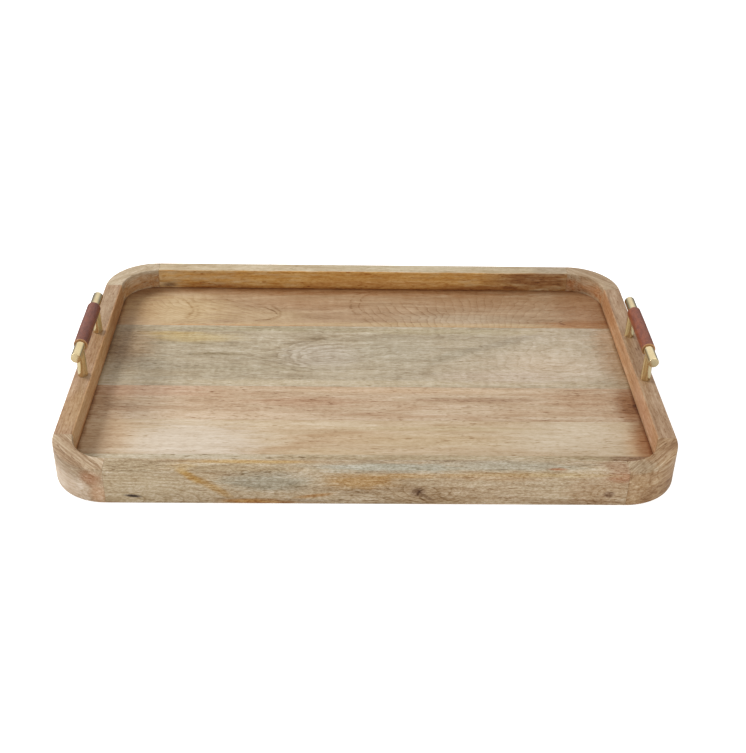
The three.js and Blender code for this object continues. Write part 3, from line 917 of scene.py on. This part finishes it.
SIDE_RAIL = dict(grain=90, sway=10, streaks=0.6, grit=0.8, pores=0.4)
RAILS = {
    "front_rail": dict(
        seed=5, light="d1bc9c", dark="b89f7e", sway=8, lines=0.3, pores=0.8, haze=0.1, fibres=1.1,
        grit=2.0, grit_size=0.65, slope=(0.003, 0.06, 0.12), wander=1.2, curl=0.1, flecks=0.15,
        upright=True,
        spots=on_front(SPOT_DEPTH, [
            ((-215, 20), (60, 30), "d0bc9c", 0.8), ((-167, 32.5), (20, 5), "c7993f", 0.7, (0, 35, 0)),
            ((-145, 19.5), (22, 5), "be9450", 0.7, (0, 38, 0)), ((-110, 3), (44, 3.5), "b98238", 0.85),
            ((-50, 10), (22, 2.5), "ba8745", 0.7, (0, -8, 0)), ((-8, 27), (40, 10), "bf9353", 0.7),
            ((34, 34), (50, 4), "c49a5c", 0.6), ((-95, 26), (52, 12), "b3aa94", 0.8),
            ((-60, 4), (50, 2), "94785a", 0.5), ((90, 12), (80, 16), "b99b77", 0.5),
            ((48.6, 15), (8, 6), "86674a", 0.9), ((57, 9), (10, 2.4), "8d6e50", 0.6, (0, 35, 0)),
            ((232, 13), (6, 4.5), "573b29", 1.0), ((243, 34), (18, 7), "a5663c", 0.85),
            ((-223, 8.7), (9, 1.9), "4a382c", 1.0, (0, 6, 0)), ((155, 36), (90, 3.5), "d0b788", 0.7),
            ((225, 16), (40, 24), "bb9873", 0.5), ((120, 34), (60, 7), "c09a6c", 0.5),
            ((200, 3), (60, 4), "a17e5b", 0.5), ((0, 0), (ANY, 1.5), "ab8b67", 0.3),
        ]) + [
            ((-112, -194, 39.5), (64, 3.4, 3), "c0984f", 0.75),
            ((-175, -201, 39.5), (16, 4, 3), "c49b55", 0.6),
            # the next two spots are a pale grey band on the top: the wood's grey tone with a painted
            # sheen
            ((20, -202, 39.5), (92, 8, 3), "b6b3a2", 0.75),
            ((130, -199, 39.5), (90, 9, 3), "b1a994", 0.7),
            ((181, -203, 39.5), (10, 2.2, 3), "b06f3c", 0.7),
            ((240, -199, 39.5), (18, 12, 3), "a57f5c", 0.8),
            ((-225, -199, 39.5), (50, 12, 3), "a18b67", 0.7),
            ((-120, -203, 39.5), (80, 8, 3), "a8926d", 0.6),
            ((80, -191, 39.5), (120, 3, 3), "a4947a", 0.5),
        ],
        hills=on_front(ANY, [((-262, 0), (185, 33), 17), ((60, 12), (40, 22), 5)]),
        windows=on_front(ANY, [((-205, 18), (75, 40), 0.4), ((60, 10), (45, 18), 0.5)]),
        loops=on_front(ANY, [
            ((66, 12), (18, 9), 0.8, 200), ((92, 12), (22, 9), 0.6, 170),
            ((232, 13.5), (11, 8), 0.5, 180), ((232, 13.5), (18, 12), 0.4, 190),
            ((-223, 8.7), (16, 5), 0.3, 90),
        ]),
    ),
    "back_rail": dict(
        seed=6, light="ccba9b", dark="bba480", sway=8, lines=0.15, pores=0.6, streaks=0.7, grit=0.8,
        fibres=1.0,
        spots=[
            ((60, 201, 39.5), (110, 9, 4), "cdbd9d", 0.7), ((0, 188, 28), (ANY, 2.6, ANY), "cd9a52", 1.0),
            # both spots here are painted shade along the foot of the rail's inner face
            ((0, 188, 15), (ANY, 3, 7), "a4662a", 0.8), ((150, 188, 18), (60, 3, 8), "8e5420", 0.7),
            # the first spot here is painted shade along the foot of the rail's inner face
            ((-175, 188, 17), (40, 3, 7), "96591f", 0.7), ((20, 188, 24), (120, 3, 6), "c48f52", 0.7),
            ((215, 188, 30), (70, 3, 16), "8c5a30", 0.85), ((235, 200, 39.5), (30, 12, 4), "b29d82", 0.8),
            # painted shade at the foot of the back left corner
            ((-237, 188, 20), (10, 3, 4), "6b4420", 0.7),
        ],
    ),
    "left_rail": dict(
        SIDE_RAIL, seed=7, light="b39072", dark="9f7e5c", flecks=0.1,
        spots=[
            ((-297, 100, 39.5), (14, 60, 4), "ab9071", 0.8),
            ((-297, -110, 39.5), (14, 50, 4), "b59062", 0.6),
            ((-297, 5, 39.5), (14, 50, 4), "a9835a", 0.8),
            ((-286.5, 0, 29), (2.6, ANY, ANY), "c99a66", 0.9),
            ((-286.5, -120, 32), (3, 60, 14), "c9a67c", 0.7),
            ((-286.5, 105, 28), (3, 80, 16), "9c693a", 0.85),
            # painted shade along the foot of the rail's inner face
            ((-286.5, 0, 17), (3, ANY, 5), "ad7240", 0.7),
        ],
    ),
    "right_rail": dict(
        SIDE_RAIL, seed=8, light="b99979", dark="a78563",
        spots=[
            ((297, 0, 39.5), (14, 60, 4), "a07a54", 0.6),
            ((286.5, 0, 29), (2.6, ANY, ANY), "c19268", 0.9),
            ((286.5, -90, 28), (3, 60, 14), "cda180", 0.7),
            ((286.5, 110, 28), (3, 50, 14), "b07a4c", 0.7), ((286.5, 20, 31), (3, 90, 3), "a06c40", 0.4),
            ((286.5, 30, 21), (3, 100, 5), "d3a57a", 0.7),
            # painted shade along the foot of the rail's inner face
            ((286.5, 0, 14), (2.6, ANY, 2.6), "5c361c", 0.9),
        ],
    ),
}

FRONT_CORNER = dict(lines=0.5, streaks=0.7, grit=0.7, fibres=1.4, pores=0.6, flecks=0.1, top_marks=True)
BACK_CORNER = dict(lines=0.3, streaks=0.7, grit=0.8)
CORNERS = {
    "corner_front_left": dict(
        FRONT_CORNER, seed=9, grain=-45, light="c8b090", dark="ab8d6b",
        spots=[
            # the first spot is the wood's pale tone with a painted sheen
            ((-294, -194, 10), (40, 40, 22), "e5ceb4", 1.0),
            ((-262, -207, 28), (13, 9, 10), "b98660", 0.65),
            ((-256, -208, 10), (10, 9, 14), "cda27c", 0.7),
        ],
    ),
    "corner_front_right": dict(
        FRONT_CORNER, seed=10, grain=45, light="bf9f78", dark="a5815b", upright=True,
        spots=[
            ((300, -180, 18), (14, 40, 20), "b0895f", 0.7),
            ((262, -199, 39.5), (22, 14, 4), "b5a488", 0.5),
        ],
        loops=[
            ((290, -190, 34), (20, ANY, 20), 0.35, 225), ((290, -190, 34), (28, ANY, 27), 0.3, 225),
            ((290, -190, 34), (13, ANY, 12), 0.3, 225),
        ],
    ),
    "corner_back_right": dict(
        BACK_CORNER, seed=11, grain=-45, light="c1a98a", dark="ab8d6a",
        spots=[((249.5, 151, 24), (60, 60, 14), "b98050", 1.0)],
    ),
    "corner_back_left": dict(
        BACK_CORNER, seed=12, grain=45, light="c4b094", dark="b09a7a",
        spots=[((-249.5, 151, 24), (60, 60, 14), "b07c46", 1.0)],
    ),
}


def build_woodwork():
    """The frame and the floor, each piece cut from its own plank."""
    for node, wood in FLOOR_BOARDS.items():
        build_floor_board(node, wood_material(f"wood_{node}", wood))
    for node, wood in RAILS.items():
        build_rail(node, wood_material(f"wood_{node}", wood))
    for node, wood in CORNERS.items():
        build_corner(node, wood_material(f"wood_{node}", wood))


# ---- metal and leather ----


def brass_material():
    """Satin champagne brass, finely brushed round the bars, with faint tarnish."""
    material, graph, shader = new_material("satin_brass")
    place = graph.millimetres()
    brushing = graph.noise(place, (0.5, 14, 0.5), 1, detail=2)
    clouds = graph.noise(place, (9, 9, 9), 2, detail=3)
    colour = graph.blend(clouds.ramp(-0.3, 0.3), (0.70, 0.58, 0.35, 1), (0.62, 0.49, 0.27, 1))
    roughness = 0.17 + brushing * 0.08 + clouds * 0.05
    relief = graph.bump(brushing, 0.001)
    graph.feed(shader, {"Base Color": colour, "Roughness": roughness, "Normal": relief, "Metallic": 1})
    return material


def leather_material(name, light, dark, edge_places):
    """Smooth reddish-brown leather with fine grain and a paler cut edge at both ends."""
    material, graph, shader = new_material(name)
    place = graph.millimetres()
    _, y, _ = graph.parts(place)
    clouds = graph.noise(place, (4, 8, 4), 3, detail=4, roughness=0.65)
    colour = graph.blend(clouds.ramp(-0.25, 0.25), tone(light), tone(dark))
    low, high = edge_places
    half = (high - low) / 2
    from_middle = (y - (low + high) / 2).apply("ABSOLUTE")
    cut = from_middle.ramp(half - 0.6, half - 0.3)
    colour = graph.blend(cut * 0.9, colour, tone("c8996a"))
    cells = graph.add("ShaderNodeTexVoronoi", feature="DISTANCE_TO_EDGE")
    scaled = graph.vector_math("DIVIDE", place, (0.8, 1.0, 0.8)).outputs[0]
    graph.feed(cells, {"Vector": scaled, "Scale": 1})
    pebbles = Field(graph, cells.outputs["Distance"]).ramp(0, 0.25)
    creases = graph.noise(place, (1.8, 9, 1.8), 4, detail=4)
    colour = graph.deepened(colour, (1 - pebbles) * 0.12 + creases * 0.3)
    roughness = 0.38 - pebbles * 0.05 + creases * 0.2
    relief = graph.bump(pebbles * 0.6 + creases, 0.07)
    graph.feed(shader, {"Base Color": colour, "Roughness": roughness, "Normal": relief})
    graph.feed(shader, {"Specular IOR Level": 0.42})
    return material


def steel_material():
    """Zinc plated steel with a slightly mottled shine."""
    material, graph, shader = new_material("zinc_plated_steel")
    place = graph.millimetres()
    mottling = graph.noise(place, (1.2, 1.2, 1.2), 5, detail=3)
    colour = graph.blend(mottling.ramp(-0.3, 0.3), (0.60, 0.60, 0.62, 1), (0.50, 0.50, 0.50, 1))
    graph.feed(shader, {"Base Color": colour, "Roughness": 0.34 + mottling * 0.15, "Metallic": 1})
    return material


def beech_material():
    """Plain beech for the dowels, flecked along their length."""
    material, graph, shader = new_material("beech")
    place = graph.millimetres()
    flecks = graph.noise(place, (1.2, 1.2, 0.5), 6, detail=3)
    colour = graph.blend(flecks.ramp(-0.3, 0.3), (0.60, 0.42, 0.24, 1), (0.50, 0.33, 0.17, 1))
    graph.feed(shader, {"Base Color": colour, "Roughness": 0.65 + flecks * 0.1})
    return material


def build_handles():
    """Both bar handles: brass bars and posts, and leather sleeves."""
    brass = brass_material()
    leathers = {"left": ("8a4a30", "682f1e"), "right": ("9e5632", "7c3c22")}
    for side, (light, dark) in leathers.items():
        build_bar(side, brass)
        for end in ("front", "back"):
            build_post(side, end, brass)
        low, high = box_of(f"{side}_leather_sleeve")
        build_sleeve(side, leather_material(f"{side}_leather", light, dark, (low.y, high.y)))


def dress_cad_nodes():
    """Materials for the CAD nodes that stay, and softer edges on the screws and washers."""
    steel, beech = steel_material(), beech_material()
    for name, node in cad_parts.items():
        metal = any(word in name for word in ("screw", "washer", "stud"))
        if not metal and not name.startswith("dowel"):
            continue
        node.data.materials.clear()
        node.data.materials.append(steel if metal else beech)
        if metal:
            bevel = node.modifiers.new("soft_edges", "BEVEL")
            bevel.width = METAL_EDGE * MM
            bevel.segments = 2
            bevel.angle_limit = radians(40)


# ---- studio ----


def add_floor():
    """A white table, lit from within so that no hard shadow shows. Its reflection darkens to the back."""
    reach = 4 / MM
    drop = -0.2
    corners = [(-reach, -reach, drop), (reach, -reach, drop), (reach, reach, drop), (-reach, reach, drop)]
    table = new_object("studio_floor", corners, [(0, 1, 2, 3)])
    material, graph, shader = new_material("studio_white")
    seen, mirrored = graph.ray_kinds()
    glow = seen * 0.65 + mirrored * 0.08
    _, y, _ = graph.parts(graph.millimetres())
    reflected = graph.blend(y.ramp(-60, 180), (0.75, 0.75, 0.75, 1), (0.12, 0.12, 0.12, 1))
    colour = graph.blend(mirrored, (0.8, 0.8, 0.8, 1), reflected)
    graph.feed(shader, {"Base Color": colour, "Roughness": 1, "Specular IOR Level": 0})
    graph.feed(shader, {"Emission Color": (1, 1, 1, 1), "Emission Strength": glow})
    table.data.materials.append(material)


def add_world():
    """White surroundings, even for soft light and darker near the horizon for reflections."""
    world = bpy.data.worlds.new("studio")
    world.use_nodes = True
    bpy.context.scene.world = world
    graph = Graph(world.node_tree)
    direction = graph.add("ShaderNodeTexCoord").outputs["Generated"]
    _, _, height = graph.parts(direction)
    seen, mirrored = graph.ray_kinds()
    reflected = height.ramp(0, 0.5) * 0.86 + 0.33
    strength = seen + (1 - seen) * (mirrored * reflected + (1 - mirrored) * AMBIENT)
    graph.feed(world.node_tree.nodes["Background"], {"Strength": strength, "Color": (1, 1, 1, 1)})


def add_lamp(name, direction, distance, size, power):
    """A round soft lamp that shines at the tray from one direction, in metres and watts."""
    towards = Vector(direction).normalized()
    lamp = bpy.data.lights.new(name, "AREA")
    lamp.shape = "DISK"
    lamp.size = size
    lamp.energy = power
    thing = bpy.data.objects.new(name, lamp)
    thing.location = towards * distance
    thing.rotation_euler = towards.to_track_quat("Z", "Y").to_euler()
    bpy.context.scene.collection.objects.link(thing)


def add_lamps():
    """A key light from the back left, and a wide, low fill from the front right."""
    add_lamp("key", (-1.33, 0.6, 1), distance=2, size=0.7, power=29)
    add_lamp("fill", (0.45, -1, 0.36), distance=2.4, size=1.4, power=17)


def add_camera():
    """The camera, from its angles and its distance to the point it looks at."""
    yaw, elevation, roll = CAMERA_YAW, CAMERA_ELEVATION, CAMERA_ROLL
    back = Vector((
        sin(yaw) * cos(elevation),
        -cos(yaw) * cos(elevation),
        sin(elevation),
    ))
    right = Vector((cos(yaw), sin(yaw), 0))
    up = back.cross(right)
    turned_right = right * cos(roll) + up * sin(roll)
    turned_up = up * cos(roll) - right * sin(roll)
    lens = bpy.data.cameras.new("camera")
    lens.sensor_width = CAMERA_SENSOR
    lens.lens = CAMERA_LENS
    camera = bpy.data.objects.new("camera", lens)
    axes = Matrix((turned_right, turned_up, back)).transposed().to_4x4()
    place = (Vector(CAMERA_TARGET) + back * CAMERA_DISTANCE) * MM
    camera.matrix_world = Matrix.Translation(place) @ axes
    bpy.context.scene.collection.objects.link(camera)
    bpy.context.scene.camera = camera


def set_view():
    """Plain display colours, so that a surface shows as it is lit."""
    bpy.context.scene.view_settings.view_transform = "Standard"
    bpy.context.scene.view_settings.look = "None"


add_camera()
set_view()
add_world()
add_lamps()
add_floor()
build_woodwork()
build_handles()
dress_cad_nodes()
